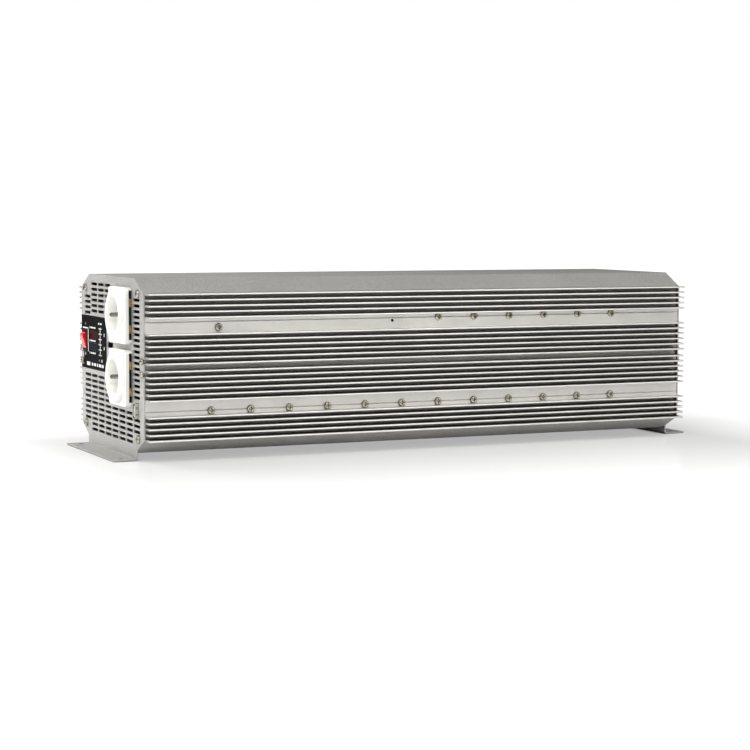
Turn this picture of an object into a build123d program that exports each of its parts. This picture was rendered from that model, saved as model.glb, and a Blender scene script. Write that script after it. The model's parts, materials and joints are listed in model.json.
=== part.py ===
from build123d import *
import math
import os

os.makedirs("parts", exist_ok=True)

# Whole body
total_height = 191.0
core_length = 652.0
sheet = 1.6
face_y = core_length / 2 + sheet
plate_half_width = 110.5
top_flat_half_width = 81.5
seam_z = 99.3
corner_rise = 76.0
body_half_height = total_height - seam_z

# End plate feet
tab_half_width = 86.3
tab_corner_z = 10.5
foot_depth = 25.4
foot_bend_radius = 2.8
foot_hole_radius = 3.3
foot_hole_x = 73.0
foot_hole_from_face = 13.0

# Vent slots of the front panel
slot_length = 22.2
slot_height = 3.3
slot_pitch_x = 24.8
slot_pitch_z = 6.0
slot_top_row_z = 168.3
slot_columns = 8
first_column_drop = 2.4
first_column_top_slots = 4
gap_slot_x = -3.9
gap_slot_z = 115.9
gap_slot_width = 20.6
gap_slot_height = 6.0

# Heat-sink extrusions, given as distance out from the middle and height from the seam
web_inner = 102.5
web_outer = 107.5
fin_tip = 124.5
fin_thickness = 2.0
fin_pitch = 6.05
inner_fin_start = 3.95
inner_fin_count = 6
outer_fin_start = 51.6
outer_fin_count = 5
band_outer = 110.0
groove_height = 46.6
groove_depth = 0.7
seam_gap_half = 0.05
web_top = 76.8
lip_thickness = 2.9
root_overlap = 1.0
port_out = 93.0
port_height = 75.9
port_radius = 4.0
port_bore_radius = 1.65
port_slit = 1.4
port_lip_overlap = 2.0
seam_screw_out = 105.2
seam_port_near = 6.1
seam_port_far = 7.6
seam_boss_inner = 101.2
seam_boss_wall = 3.5
rail_inner = 98.5
rail_thickness = 2.0
rail_low = 57.85
rail_high = 62.15

# Covers
cover_sheet = 1.5
cover_gap = 0.1
cover_edge_step = 0.4
return_flange_inner = 98.5

# Clamp screws through the bands
screw_pitch = 44.4
first_screw_y = -253.8
clamp_screw_count = 12
first_upper_screw = 6
clamp_screw_radius = 2.0
clamp_hole_radius = 2.15
lone_screw_y = -245.2
lone_screw_z = 139.9
spare_hole_y = -43.5
spare_hole_z = 142.9
spare_hole_radius = 1.65
lower_screw_z = seam_z - groove_height
upper_screw_z = seam_z + groove_height

# Plate screws
corner_screw_x = port_out
plate_screw_radius = 1.65
corner_head_radius = 4.6
seam_head_radius = 3.8

# Printed label on the front panel
label_left = -109.5
label_right = -17.0
label_bottom = 85.2
label_top = 144.5
label_thickness = 0.4
label_notch_width = 8.7
label_notch_margin = 4.4

# Rocker switch
rocker_x = -94.4
rocker_z = 116.5
rocker_width = 10.4
rocker_swing_radius = 9.8
rocker_tilt = 16.0
rocker_pivot_y = -face_y + 2.0
rocker_pin_radius = 1.2
rocker_pin_reach = 1.1
rocker_pin_fit = 0.06
bezel_width = 13.6
bezel_height = 25.0
bezel_thickness = 0.9
bezel_opening_width = 11.0
bezel_opening_height = 21.0
switch_body_width = 12.6
switch_body_height = 23.6
switch_body_depth = 16.0
switch_body_wall = 3.0
cutout_gap = 0.4

# Displays and level lamps
window_x = -65.2
window_width = 30.0
window_height = 8.8
window_zs = (123.5, 110.4)
lamp_x = -39.1
lamp_top_z = 131.4
lamp_pitch = 5.8
lamp_count = 6
lamp_radius = 1.4
lamp_hole_gap = 0.3
lamp_proud = 0.5
window_lip = 1.0
indicator_board_y = -312.0
indicator_board_x = -54.0
indicator_board_z = 117.0
indicator_board_width = 62.0
indicator_board_height = 44.0
small_board_thickness = 1.6

# Sockets
socket_x = 43.0
socket_width = 57.0
socket_height = 59.6
upper_socket_z = 150.9
lower_socket_z = 84.7
socket_flange = 7.7
socket_rim = 12.3
socket_boss_radius = 26.7
well_radius = 20.2
well_depth = 15.0
well_floor = 2.5
cup_radius = 22.3
socket_wall = 2.0
socket_cutout = 51.0
socket_cutout_corner = 1.0
socket_slot_width = 3.2
socket_slot_length = 52.0
socket_slot_rise = 1.0
plug_hole_offset = 9.5
plug_hole_radius = 2.7
earth_pin_offset = 10.0
earth_pin_radius = 2.4
contact_offset = 14.0
contact_width = 8.2
contact_strip = 1.2
contact_tube_radius = 3.8
contact_tube_bore = 2.45
contact_tube_length = 16.0
contact_leg_x = socket_x + 21.6
contact_tab_x = socket_x + 27.7
contact_tab_front = 3.0

# USB port
usb_x = 89.0
usb_z = 52.6
usb_width = 8.0
usb_height = 16.0
usb_proud = 4.2
usb_wall = 0.5
usb_depth = 16.0

# Fans behind the rear panel
fan_x = 48.0
fan_z = 128.0
fan_size = 80.0
fan_depth = 25.0
fan_bore_radius = 38.5
fan_blade_reach = 36.2
fan_hub_radius = 19.0
fan_screw_spacing = 71.5
fan_blade_count = 7
guard_ear = 1.8
guard_wire = 1.0
guard_ring_radii = (12.0, 20.0, 28.0, 36.0)
guard_bar_length = 93.2
fan_motor_radius = 17.0
fan_motor_depth = 4.0
fan_shaft_radius = 1.5
fan_shaft_fit = 0.05

# Battery terminals and ground stud
terminal_x = 55.0
terminal_z = 58.0
stud_radius = 5.0
stud_tip_radius = 4.2
stud_tip_length = 8.0
stud_inner_y = 286.0
insulator_radius = 17.0
insulator_thickness = 6.0
bush_radius = 9.0
terminal_nut_across = 16.0
terminal_nut_thickness = 8.0
washer_radius = 10.0
washer_thickness = 2.0
inner_bush = 12.0
bus_bar_width = 25.0
bus_bar_thickness = 3.0
ground_z = 40.0
ground_radius = 3.0
ground_tip_radius = 2.4
ground_tip_length = 9.0
ground_head_height = 4.0
ground_nut_height = 5.0
ground_nut_across = 10.0

# Boards and what they carry
board_thickness = 2.0
lower_board_z = seam_z - rail_high
upper_board_z = seam_z + rail_low + rail_thickness
board_half_width = 101.8
lower_board_top = lower_board_z + board_thickness
pad_thickness = 0.3
package_depth = 5.0
package_width = 15.8
package_height = 20.0
clamp_bar_thickness = 3.0
bar_height = 12.0
pad_height = 21.0
strip_end_gap = 2.0
leg_pitch = 5.4
leg_width = 1.2
leg_thickness = 0.8

front_face = Plane.XZ.offset(face_y)
front_core = Plane.XZ.offset(core_length / 2)
rear_core = Plane.XZ.offset(-core_length / 2)
rear_face = Plane(origin=(0, face_y, 0), x_dir=(-1, 0, 0), z_dir=(0, 1, 0))
right_band = Plane.YZ.offset(band_outer)
left_band = Plane(origin=(-band_outer, 0, 0), x_dir=(0, -1, 0), z_dir=(-1, 0, 0))


def save(builder, name):
    builder.part.label = name
    export_step(builder.part, f"parts/{name}.step")


def front_plane(distance):
    """Plane facing the front, a given distance in front of the panel's outer face."""
    return Plane.XZ.offset(face_y + distance)


# ---------------------------------------------------------------- heat sinks
def seam_port_height(side, level):
    """Distance of the screw port from the seam; the left side is the right side turned over."""
    return seam_port_near if side == level else seam_port_far


def heat_sink(name, side, level, screw_ys, extra_holes):
    """One quarter of the side walls: fins, clamping band, board rails and screw ports."""

    def point(out, height):
        return (side * out, seam_z + level * height)

    def block(out_a, out_b, height_a, height_b, mode=Mode.ADD):
        middle = point((out_a + out_b) / 2, (height_a + height_b) / 2)
        with Locations(middle):
            Rectangle(out_b - out_a, height_b - height_a, mode=mode)

    fin_heights = [inner_fin_start + fin_pitch * i for i in range(inner_fin_count)]
    fin_heights += [outer_fin_start + fin_pitch * i for i in range(outer_fin_count)]
    last_inner_fin = fin_heights[inner_fin_count - 1]
    tip_radius = fin_thickness / 2
    hole_z = seam_z + level * groove_height
    seam_port = seam_port_height(side, level)

    with BuildPart() as quarter:
        with BuildSketch(Plane.XZ):
            block(web_inner, web_outer, seam_gap_half, web_top)
            block(seam_boss_inner, web_outer, seam_gap_half, seam_port + seam_boss_wall)
            block(web_outer - root_overlap, band_outer, last_inner_fin, outer_fin_start)
            for height in fin_heights:
                fin_low, fin_high = height - tip_radius, height + tip_radius
                block(web_outer - root_overlap, fin_tip - tip_radius, fin_low, fin_high)
                with Locations(point(fin_tip - tip_radius, height)):
                    Circle(tip_radius)
            block(port_out + port_lip_overlap, web_inner + root_overlap, web_top - lip_thickness, web_top)
            with Locations(point(port_out, port_height)):
                Circle(port_radius)
                Circle(port_bore_radius, mode=Mode.SUBTRACT)
            slit_inner = port_out - port_radius - 1
            slit_low, slit_high = port_height - port_slit / 2, port_height + port_slit / 2
            block(slit_inner, port_out, slit_low, slit_high, Mode.SUBTRACT)
            with Locations(point(seam_screw_out, seam_port)):
                Circle(plate_screw_radius, mode=Mode.SUBTRACT)
            for rail in (rail_low, rail_high):
                block(rail_inner, web_inner + root_overlap, rail, rail + rail_thickness)
            with BuildLine():
                Polyline(
                    point(band_outer + 0.01, groove_height - groove_depth),
                    point(band_outer - groove_depth, groove_height),
                    point(band_outer + 0.01, groove_height + groove_depth),
                    close=True,
                )
            make_face(mode=Mode.SUBTRACT)
        extrude(amount=core_length / 2, both=True)
        with BuildSketch(Plane.YZ):
            with Locations(*[(y, hole_z) for y in screw_ys]):
                Circle(clamp_hole_radius)
        extrude(amount=side * fin_tip, mode=Mode.SUBTRACT)
        if extra_holes:
            with BuildSketch(Plane.YZ):
                with Locations(*extra_holes):
                    Circle(spare_hole_radius)
            extrude(amount=side * fin_tip, mode=Mode.SUBTRACT)
    save(quarter, name)


all_screw_ys = [first_screw_y + screw_pitch * i for i in range(clamp_screw_count)]
upper_screw_ys = all_screw_ys[first_upper_screw:]
upper_extra_holes = [(lone_screw_y, lone_screw_z), (spare_hole_y, spare_hole_z)]

heat_sink("heat_sink_upper_right", 1, 1, upper_screw_ys, upper_extra_holes)
heat_sink("heat_sink_lower_right", 1, -1, all_screw_ys, [])
heat_sink("heat_sink_upper_left", -1, 1, upper_screw_ys, upper_extra_holes)
heat_sink("heat_sink_lower_left", -1, -1, all_screw_ys, [])


# ---------------------------------------------------------------- covers
def cover(name, level):
    """Folded sheet: flat, two sloped edges and a return flange lying on the heat sinks."""
    edge = web_top + cover_gap
    slope = (body_half_height - corner_rise) / (plate_half_width - top_flat_half_width)
    slope_end = edge + cover_edge_step
    corner_out = top_flat_half_width + (body_half_height - slope_end) / slope
    drop = cover_sheet / math.cos(math.atan(slope))
    inner_flat = top_flat_half_width - cover_sheet * math.tan(math.atan(slope) / 2)
    flange_meet = top_flat_half_width + (body_half_height - drop - edge - cover_sheet) / slope
    half = [
        (top_flat_half_width, body_half_height),
        (corner_out, slope_end),
        (corner_out, edge),
        (return_flange_inner, edge),
        (return_flange_inner, edge + cover_sheet),
        (flange_meet, edge + cover_sheet),
        (inner_flat, body_half_height - cover_sheet),
    ]
    outline = [(x, seam_z + level * h) for x, h in half]
    outline += [(-x, seam_z + level * h) for x, h in reversed(half)]
    with BuildPart() as folded:
        with BuildSketch(Plane.XZ):
            with BuildLine():
                Polyline(*outline, close=True)
            make_face()
        extrude(amount=core_length / 2, both=True)
    save(folded, name)


cover("top_cover", 1)
cover("bottom_cover", -1)


# ---------------------------------------------------------------- end plates
def plate_outline():
    half = [
        (top_flat_half_width, total_height),
        (plate_half_width, seam_z + corner_rise),
        (plate_half_width, seam_z - corner_rise),
        (tab_half_width, tab_corner_z),
        (tab_half_width, foot_bend_radius),
    ]
    return half + [(-x, z) for x, z in reversed(half)]


def foot_section(direction):
    """Section of the bent-out foot; direction is -1 at the front and 1 at the rear."""
    inside = direction * core_length / 2
    outside = direction * face_y
    centre = inside + direction * foot_bend_radius
    tip = outside + direction * foot_depth
    inner_radius = foot_bend_radius - sheet
    diagonal = math.sqrt(0.5)
    with BuildSketch(Plane.YZ) as section:
        with BuildLine():
            Line((inside, foot_bend_radius + 1), (inside, foot_bend_radius))
            ThreePointArc(
                (inside, foot_bend_radius),
                (centre - direction * foot_bend_radius * diagonal, foot_bend_radius * (1 - diagonal)),
                (centre, 0),
            )
            Polyline((centre, 0), (tip, 0), (tip, sheet), (centre, sheet))
            ThreePointArc(
                (centre, sheet),
                (centre - direction * inner_radius * diagonal, foot_bend_radius - inner_radius * diagonal),
                (outside, foot_bend_radius),
            )
            Line((outside, foot_bend_radius), (outside, foot_bend_radius + 1))
            Line((outside, foot_bend_radius + 1), (inside, foot_bend_radius + 1))
        make_face()
    return section.sketch


def foot_holes(direction):
    hole_y = direction * (face_y + foot_hole_from_face)
    with BuildSketch(Plane.XY) as holes:
        with Locations((-foot_hole_x, hole_y), (foot_hole_x, hole_y)):
            Circle(foot_hole_radius)
    return holes.sketch


quarters = [(side, level) for side in (-1, 1) for level in (-1, 1)]
corner_points = [(side * corner_screw_x, seam_z + level * port_height) for side, level in quarters]
seam_points = [
    (side * seam_screw_out, seam_z + level * seam_port_height(side, level)) for side, level in quarters
]


def edge_slots(plane):
    """Slots for the seam screws, open to the side edges of an end plate."""
    reach = plate_half_width - seam_screw_out + 1
    with BuildSketch(plane) as slots:
        with Locations(*seam_points):
            Circle(clamp_hole_radius)
        with Locations(*[(x + math.copysign(reach / 2, x), z) for x, z in seam_points]):
            Rectangle(reach, 2 * clamp_hole_radius)
    return slots.sketch


# columns count from the left, rows from the highest slot of the right-hand column
slot_rows = {
    1: list(range(15, 24)),
    2: list(range(-2, 4)) + list(range(15, 26)),
    3: list(range(-2, 4)) + list(range(15, 26)),
    4: list(range(-2, 4)) + list(range(15, 26)),
    5: list(range(20, 26)),
    6: list(range(20, 26)),
    7: list(range(20, 26)),
    8: list(range(0, 18)) + list(range(21, 24)),
}
slot_points = [
    ((column - (slot_columns + 1) / 2) * slot_pitch_x, slot_top_row_z - slot_pitch_z * row)
    for column, rows in slot_rows.items()
    for row in rows
]
first_column_x = -(slot_columns - 1) / 2 * slot_pitch_x
first_column_top = slot_top_row_z - first_column_drop
first_column_rows = range(first_column_top_slots)
slot_points += [(first_column_x, first_column_top - slot_pitch_z * row) for row in first_column_rows]
lamp_points = [(lamp_x, lamp_top_z - lamp_pitch * i) for i in range(lamp_count)]

with BuildPart() as front_panel:
    with BuildSketch(front_core):
        with BuildLine():
            Polyline(*plate_outline(), close=True)
        make_face()
        with Locations(*corner_points):
            Circle(clamp_hole_radius, mode=Mode.SUBTRACT)
        with Locations(*slot_points):
            SlotOverall(slot_length, slot_height, mode=Mode.SUBTRACT)
        with Locations((socket_x, upper_socket_z), (socket_x, lower_socket_z)):
            RectangleRounded(socket_cutout, socket_cutout, socket_cutout_corner, mode=Mode.SUBTRACT)
        with Locations((rocker_x, rocker_z)):
            Rectangle(switch_body_width + cutout_gap, switch_body_height + cutout_gap, mode=Mode.SUBTRACT)
        with Locations(*[(window_x, z) for z in window_zs]):
            Rectangle(window_width - 2 * window_lip, window_height - 2 * window_lip, mode=Mode.SUBTRACT)
        with Locations(*lamp_points):
            Circle(lamp_radius + lamp_hole_gap, mode=Mode.SUBTRACT)
        with Locations((usb_x, usb_z)):
            Rectangle(usb_width + cutout_gap, usb_height + cutout_gap, mode=Mode.SUBTRACT)
        with Locations((gap_slot_x, gap_slot_z)):
            Rectangle(gap_slot_width, gap_slot_height, mode=Mode.SUBTRACT)
    extrude(amount=sheet)
    extrude(edge_slots(front_core), amount=sheet, mode=Mode.SUBTRACT)
    extrude(foot_section(-1), amount=tab_half_width, both=True)
    extrude(foot_holes(-1), amount=sheet, mode=Mode.SUBTRACT)
save(front_panel, "front_panel")

fan_corner = fan_screw_spacing / 2
fan_screw_points = [
    (sx * fan_x + dx * fan_corner, fan_z + dz * fan_corner)
    for sx in (-1, 1)
    for dx in (-1, 1)
    for dz in (-1, 1)
]

with BuildPart() as rear_panel:
    with BuildSketch(rear_core):
        with BuildLine():
            Polyline(*plate_outline(), close=True)
        make_face()
        with Locations(*corner_points):
            Circle(clamp_hole_radius, mode=Mode.SUBTRACT)
        with Locations((-fan_x, fan_z), (fan_x, fan_z)):
            Circle(fan_bore_radius, mode=Mode.SUBTRACT)
        with Locations(*fan_screw_points):
            Circle(clamp_hole_radius, mode=Mode.SUBTRACT)
        with Locations((-terminal_x, terminal_z), (terminal_x, terminal_z)):
            Circle(bush_radius + 0.2, mode=Mode.SUBTRACT)
        with Locations((0, ground_z)):
            Circle(ground_radius + 0.2, mode=Mode.SUBTRACT)
    extrude(amount=-sheet)
    extrude(edge_slots(rear_core), amount=-sheet, mode=Mode.SUBTRACT)
    extrude(foot_section(1), amount=tab_half_width, both=True)
    extrude(foot_holes(1), amount=sheet, mode=Mode.SUBTRACT)
save(rear_panel, "rear_panel")


# ---------------------------------------------------------------- screws
recess_length = 1.1
recess_width = 0.28
recess_depth = 0.6
head_rounding = 0.55


def screws(name, places, head_height, shank_radius, shank_length):
    """Pan-head cross-recess screws as separate solids; places lists planes with points by head radius."""
    with BuildPart() as group:
        for plane, points_by_radius in places:
            outward = Axis(plane.origin, plane.z_dir)
            with BuildSketch(plane):
                for head_radius, points in points_by_radius.items():
                    with Locations(*points):
                        Circle(head_radius)
            extrude(amount=head_height)
            fillet(group.edges().group_by(outward)[-1], head_height * head_rounding)
            with BuildSketch(plane.offset(head_height)):
                for head_radius, points in points_by_radius.items():
                    with Locations(*points):
                        Rectangle(head_radius * recess_length, head_radius * recess_width)
                        Rectangle(head_radius * recess_width, head_radius * recess_length)
            extrude(amount=-head_height * recess_depth, mode=Mode.SUBTRACT)
            with BuildSketch(plane):
                for points in points_by_radius.values():
                    with Locations(*points):
                        Circle(shank_radius)
            extrude(amount=-shank_length)
    save(group, name)


def mirrored(points):
    return [(-across, z) for across, z in points]


panel_head_height = 2.6
panel_screw_length = 14.0
panel_screw_places = [
    (front_face, {corner_head_radius: corner_points, seam_head_radius: seam_points}),
    (rear_face, {corner_head_radius: mirrored(corner_points), seam_head_radius: mirrored(seam_points)}),
]
screws("panel_screws", panel_screw_places, panel_head_height, plate_screw_radius, panel_screw_length)

clamp_points = [(y, lower_screw_z) for y in all_screw_ys]
clamp_points += [(y, upper_screw_z) for y in upper_screw_ys]
clamp_head_radius = 4.0
clamp_head_height = 2.4
clamp_length = band_outer - web_inner + pad_thickness + package_depth + clamp_bar_thickness
clamp_screw_places = [
    (right_band, {clamp_head_radius: clamp_points}),
    (left_band, {clamp_head_radius: mirrored(clamp_points)}),
]
screws("clamp_screws", clamp_screw_places, clamp_head_height, clamp_screw_radius, clamp_length)

thermostat_points = [(lone_screw_y, lone_screw_z)]
thermostat_screw_length = 11.0
thermostat_screw_places = [
    (right_band, {clamp_head_radius: thermostat_points}),
    (left_band, {clamp_head_radius: mirrored(thermostat_points)}),
]
screws("thermostat_screws", thermostat_screw_places, clamp_head_height, spare_hole_radius,
       thermostat_screw_length)


# ---------------------------------------------------------------- control label and switch
left_seam_zs = [z for x, z in seam_points if x < 0]
notch_z = sum(left_seam_zs) / 2
notch_height = max(left_seam_zs) - min(left_seam_zs) + 2 * label_notch_margin
with BuildPart() as control_label:
    with BuildSketch(front_face):
        with Locations(((label_left + label_right) / 2, (label_bottom + label_top) / 2)):
            Rectangle(label_right - label_left, label_top - label_bottom)
        with Locations((label_left + label_notch_width / 2, notch_z)):
            Rectangle(label_notch_width, notch_height, mode=Mode.SUBTRACT)
        with Locations((rocker_x, rocker_z)):
            Rectangle(switch_body_width + cutout_gap, switch_body_height + cutout_gap, mode=Mode.SUBTRACT)
        with Locations(*[(window_x, z) for z in window_zs]):
            Rectangle(window_width, window_height, mode=Mode.SUBTRACT)
        with Locations(*lamp_points):
            Circle(lamp_radius + lamp_hole_gap, mode=Mode.SUBTRACT)
    extrude(amount=label_thickness)
save(control_label, "control_label")

with BuildPart() as rocker_bezel:
    with BuildSketch(front_plane(label_thickness)):
        with Locations((rocker_x, rocker_z)):
            RectangleRounded(bezel_width, bezel_height, 1.2)
    extrude(amount=bezel_thickness)
    with BuildSketch(front_plane(label_thickness)):
        with Locations((rocker_x, rocker_z)):
            Rectangle(switch_body_width, switch_body_height)
    extrude(amount=-switch_body_depth)
    with BuildSketch(front_plane(label_thickness + bezel_thickness)):
        with Locations((rocker_x, rocker_z)):
            Rectangle(bezel_opening_width, bezel_opening_height)
    extrude(amount=-(bezel_thickness + switch_body_depth - switch_body_wall), mode=Mode.SUBTRACT)
    with Locations(Plane(origin=(rocker_x, rocker_pivot_y, rocker_z), z_dir=(1, 0, 0))):
        Cylinder(rocker_pin_radius + rocker_pin_fit, rocker_width + 2 * rocker_pin_reach + 0.2,
                 mode=Mode.SUBTRACT)
save(rocker_bezel, "rocker_bezel")


def rocker_point(out, height):
    """Rocker section point, tipped so that the upper end stands out."""
    angle = math.radians(rocker_tilt)
    tipped_out = out * math.cos(angle) + height * math.sin(angle)
    tipped_height = height * math.cos(angle) - out * math.sin(angle)
    return (rocker_pivot_y - tipped_out, rocker_z + tipped_height)


def rocker_rim(out):
    """Height at which the rocker's rounded ends reach a given distance out from the pivot."""
    return math.sqrt(rocker_swing_radius**2 - out**2)


rocker_face_out = 6.0
rocker_end_middle_out = 3.8
rocker_shoulder_out = 1.2
rocker_root_out = -4.5
rocker_root_half = 4.6
rocker_edge_radius = 0.7


def at_both_ends(out, half_height):
    return [rocker_point(out, half_height), rocker_point(out, -half_height)]


face_ends = at_both_ends(rocker_face_out, rocker_rim(rocker_face_out))
end_middles = at_both_ends(rocker_end_middle_out, rocker_rim(rocker_end_middle_out))
shoulders = at_both_ends(rocker_shoulder_out, rocker_rim(rocker_shoulder_out))
roots = at_both_ends(rocker_root_out, rocker_root_half)
with BuildPart() as rocker:
    with BuildSketch(Plane.YZ.offset(rocker_x)):
        with BuildLine():
            Line(face_ends[0], face_ends[1])
            for end in (0, 1):
                ThreePointArc(face_ends[end], end_middles[end], shoulders[end])
            Polyline(shoulders[0], roots[0], roots[1], shoulders[1])
        make_face()
    extrude(amount=rocker_width / 2, both=True)
    for end_y, end_z in face_ends:
        cross_edges = rocker.edges().filter_by(Axis.X)
        fillet(cross_edges.sort_by_distance((rocker_x, end_y, end_z))[0], rocker_edge_radius)
    with Locations(Plane(origin=(rocker_x, rocker_pivot_y, rocker_z), z_dir=(1, 0, 0))):
        Cylinder(rocker_pin_radius, rocker_width + 2 * rocker_pin_reach)
save(rocker, "rocker")


# ---------------------------------------------------------------- displays and lamps
def display(name, z):
    """Flat display module: lens in the label's window, body behind the panel."""
    body_width = window_width - 2 * window_lip - cutout_gap
    body_height = window_height - 2 * window_lip - cutout_gap
    with BuildPart() as module:
        with BuildSketch(front_plane(0)):
            with Locations((window_x, z)):
                Rectangle(window_width - cutout_gap, window_height - cutout_gap)
        extrude(amount=label_thickness)
        with BuildSketch(front_plane(0)):
            with Locations((window_x, z)):
                Rectangle(body_width, body_height)
        extrude(amount=-(face_y + indicator_board_y))
    save(module, name)


display("upper_display", window_zs[0])
display("lower_display", window_zs[1])

with BuildPart() as level_lamps:
    with BuildSketch(Plane.XZ.offset(-indicator_board_y)):
        with Locations(*lamp_points):
            Circle(lamp_radius)
    extrude(amount=face_y + indicator_board_y + label_thickness + lamp_proud)
    fillet(level_lamps.edges().group_by(Axis.Y)[0], 0.6)
save(level_lamps, "level_lamps")

with BuildPart() as indicator_board:
    with BuildSketch(Plane.XZ.offset(-indicator_board_y)):
        with Locations((indicator_board_x, indicator_board_z)):
            Rectangle(indicator_board_width, indicator_board_height)
    extrude(amount=-small_board_thickness)
save(indicator_board, "indicator_board")

post_radius = 2.2
post_spread_x = 55.2
post_spread_z = 36.0

with BuildPart() as indicator_board_posts:
    with BuildSketch(front_core):
        with Locations((indicator_board_x, indicator_board_z)):
            with GridLocations(post_spread_x, post_spread_z, 2, 2):
                Circle(post_radius)
    extrude(amount=-(core_length / 2 + indicator_board_y))
save(indicator_board_posts, "indicator_board_posts")


# ---------------------------------------------------------------- sockets
shell_corner = 4.0
shell_inner_corner = 2.5
flange_edge_radius = 1.2
rim_edge_radius = 1.0
floor_back = well_floor + well_depth - socket_rim
base_width = 58.0
base_height = 60.0
base_block = 50.0
base_block_depth = 22.0
base_recess = 3.0
tube_recess = 19.0
earth_pin_root = 12.0
part_gap = 0.3
screen_x = socket_x + 24.1
screen_thickness = 1.2
screen_height = 50.4
screen_front = 5.4


def socket(prefix, z):
    """French-type outlet: front shell with plug well, rear base, two contacts, earth pin."""
    plug_holes = [(socket_x, z - plug_hole_offset), (socket_x, z + plug_hole_offset)]
    earth_point = (socket_x - earth_pin_offset, z)
    strip_zs = (z - contact_offset, z + contact_offset)
    hollow_width = socket_width - 2 * socket_wall
    hollow_height = socket_height - 2 * socket_wall
    with BuildPart() as shell:
        with BuildSketch(front_plane(0)):
            with Locations((socket_x, z)):
                RectangleRounded(socket_width, socket_height, shell_corner)
        extrude(amount=socket_flange)
        fillet(shell.edges().group_by(Axis.Y)[0], flange_edge_radius)
        with BuildSketch(front_plane(0)):
            with Locations((socket_x, z)):
                RectangleRounded(hollow_width, hollow_height, shell_inner_corner)
        extrude(amount=socket_flange - socket_wall, mode=Mode.SUBTRACT)
        with BuildSketch(front_plane(socket_flange - socket_wall)):
            with Locations((socket_x, z)):
                Circle(socket_boss_radius)
        extrude(amount=socket_rim - socket_flange + socket_wall)
        fillet(shell.edges().group_by(Axis.Y)[0], rim_edge_radius)
        with BuildSketch(front_plane(-floor_back)):
            with Locations((socket_x, z)):
                Circle(cup_radius)
        extrude(amount=socket_rim - rim_edge_radius + floor_back)
        with BuildSketch(front_plane(socket_rim)):
            with Locations((socket_x, z)):
                Circle(well_radius)
        extrude(amount=-well_depth, mode=Mode.SUBTRACT)
        with BuildSketch(front_plane(-floor_back)):
            with Locations(*plug_holes):
                Circle(plug_hole_radius)
            with Locations(earth_point):
                Circle(earth_pin_radius)
        extrude(amount=well_floor, mode=Mode.SUBTRACT)
        with BuildSketch(Plane.YZ.offset(socket_x + socket_width / 2 - 2 * socket_wall)):
            with Locations((-face_y - socket_slot_width / 2, z + socket_slot_rise)):
                Rectangle(socket_slot_width, socket_slot_length)
        extrude(amount=3 * socket_wall, mode=Mode.SUBTRACT)
    save(shell, f"{prefix}_socket_shell")

    strip_run = contact_leg_x - socket_x
    with BuildPart() as base:
        with BuildSketch(front_core):
            with Locations((socket_x, z)):
                Rectangle(base_width, base_height)
                Circle(cup_radius + cutout_gap / 2, mode=Mode.SUBTRACT)
        extrude(amount=-(floor_back - sheet))
        with BuildSketch(front_plane(-floor_back)):
            with Locations((socket_x, z)):
                Rectangle(base_block, base_block)
        extrude(amount=-base_block_depth)
        with BuildSketch(front_core):
            with Locations((screen_x, z)):
                Rectangle(screen_thickness, screen_height)
        extrude(amount=sheet + screen_front)
        with BuildSketch(front_core):
            with Locations(*[(screen_x, strip_z) for strip_z in strip_zs]):
                Rectangle(2 * screen_thickness, contact_width + 2 * part_gap)
        extrude(amount=sheet + screen_front, mode=Mode.SUBTRACT)
        with BuildSketch(front_plane(-floor_back)):
            with Locations(*plug_holes):
                Circle(contact_tube_radius + part_gap)
            with Locations(*[(socket_x + strip_run / 2, strip_z) for strip_z in strip_zs]):
                Rectangle(strip_run + 2, contact_width + 2 * part_gap)
        extrude(amount=-base_recess, mode=Mode.SUBTRACT)
        with BuildSketch(front_plane(-floor_back)):
            with Locations(*plug_holes):
                Circle(contact_tube_radius + part_gap)
        extrude(amount=-tube_recess, mode=Mode.SUBTRACT)
        with BuildSketch(front_plane(-floor_back)):
            with Locations(*[(contact_leg_x, strip_z) for strip_z in strip_zs]):
                Rectangle(contact_strip + 1, contact_width + 2 * part_gap)
        extrude(amount=floor_back - sheet, mode=Mode.SUBTRACT)
        with BuildSketch(front_plane(-floor_back)):
            with Locations(earth_point):
                Circle(earth_pin_radius)
        extrude(amount=-earth_pin_root, mode=Mode.SUBTRACT)
    save(base, f"{prefix}_socket_base")

    strip_front = -floor_back - 2 * part_gap
    tab_run = contact_tab_x - contact_leg_x
    with BuildPart() as contacts:
        with BuildSketch(front_plane(-floor_back - part_gap)):
            with Locations(*plug_holes):
                Circle(contact_tube_radius)
        extrude(amount=-contact_tube_length)
        with BuildSketch(front_plane(strip_front)):
            with Locations(*[(socket_x + strip_run / 2, strip_z) for strip_z in strip_zs]):
                Rectangle(strip_run + contact_strip, contact_width)
        extrude(amount=-contact_strip)
        with BuildSketch(front_plane(strip_front - contact_strip)):
            with Locations(*[(contact_leg_x, strip_z) for strip_z in strip_zs]):
                Rectangle(contact_strip, contact_width)
        extrude(amount=contact_tab_front - strip_front + contact_strip)
        with BuildSketch(front_plane(contact_tab_front - contact_strip)):
            with Locations(*[(contact_leg_x + tab_run / 2, strip_z) for strip_z in strip_zs]):
                Rectangle(tab_run + contact_strip, contact_width)
        extrude(amount=contact_strip)
        with BuildSketch(front_plane(part_gap)):
            with Locations(*[(contact_tab_x, strip_z) for strip_z in strip_zs]):
                Rectangle(contact_strip, contact_width)
        extrude(amount=contact_tab_front - part_gap)
        with BuildSketch(front_plane(-floor_back)):
            with Locations(*plug_holes):
                Circle(contact_tube_bore)
        extrude(amount=-contact_tube_length + 1, mode=Mode.SUBTRACT)
    save(contacts, f"{prefix}_socket_contacts")

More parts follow.
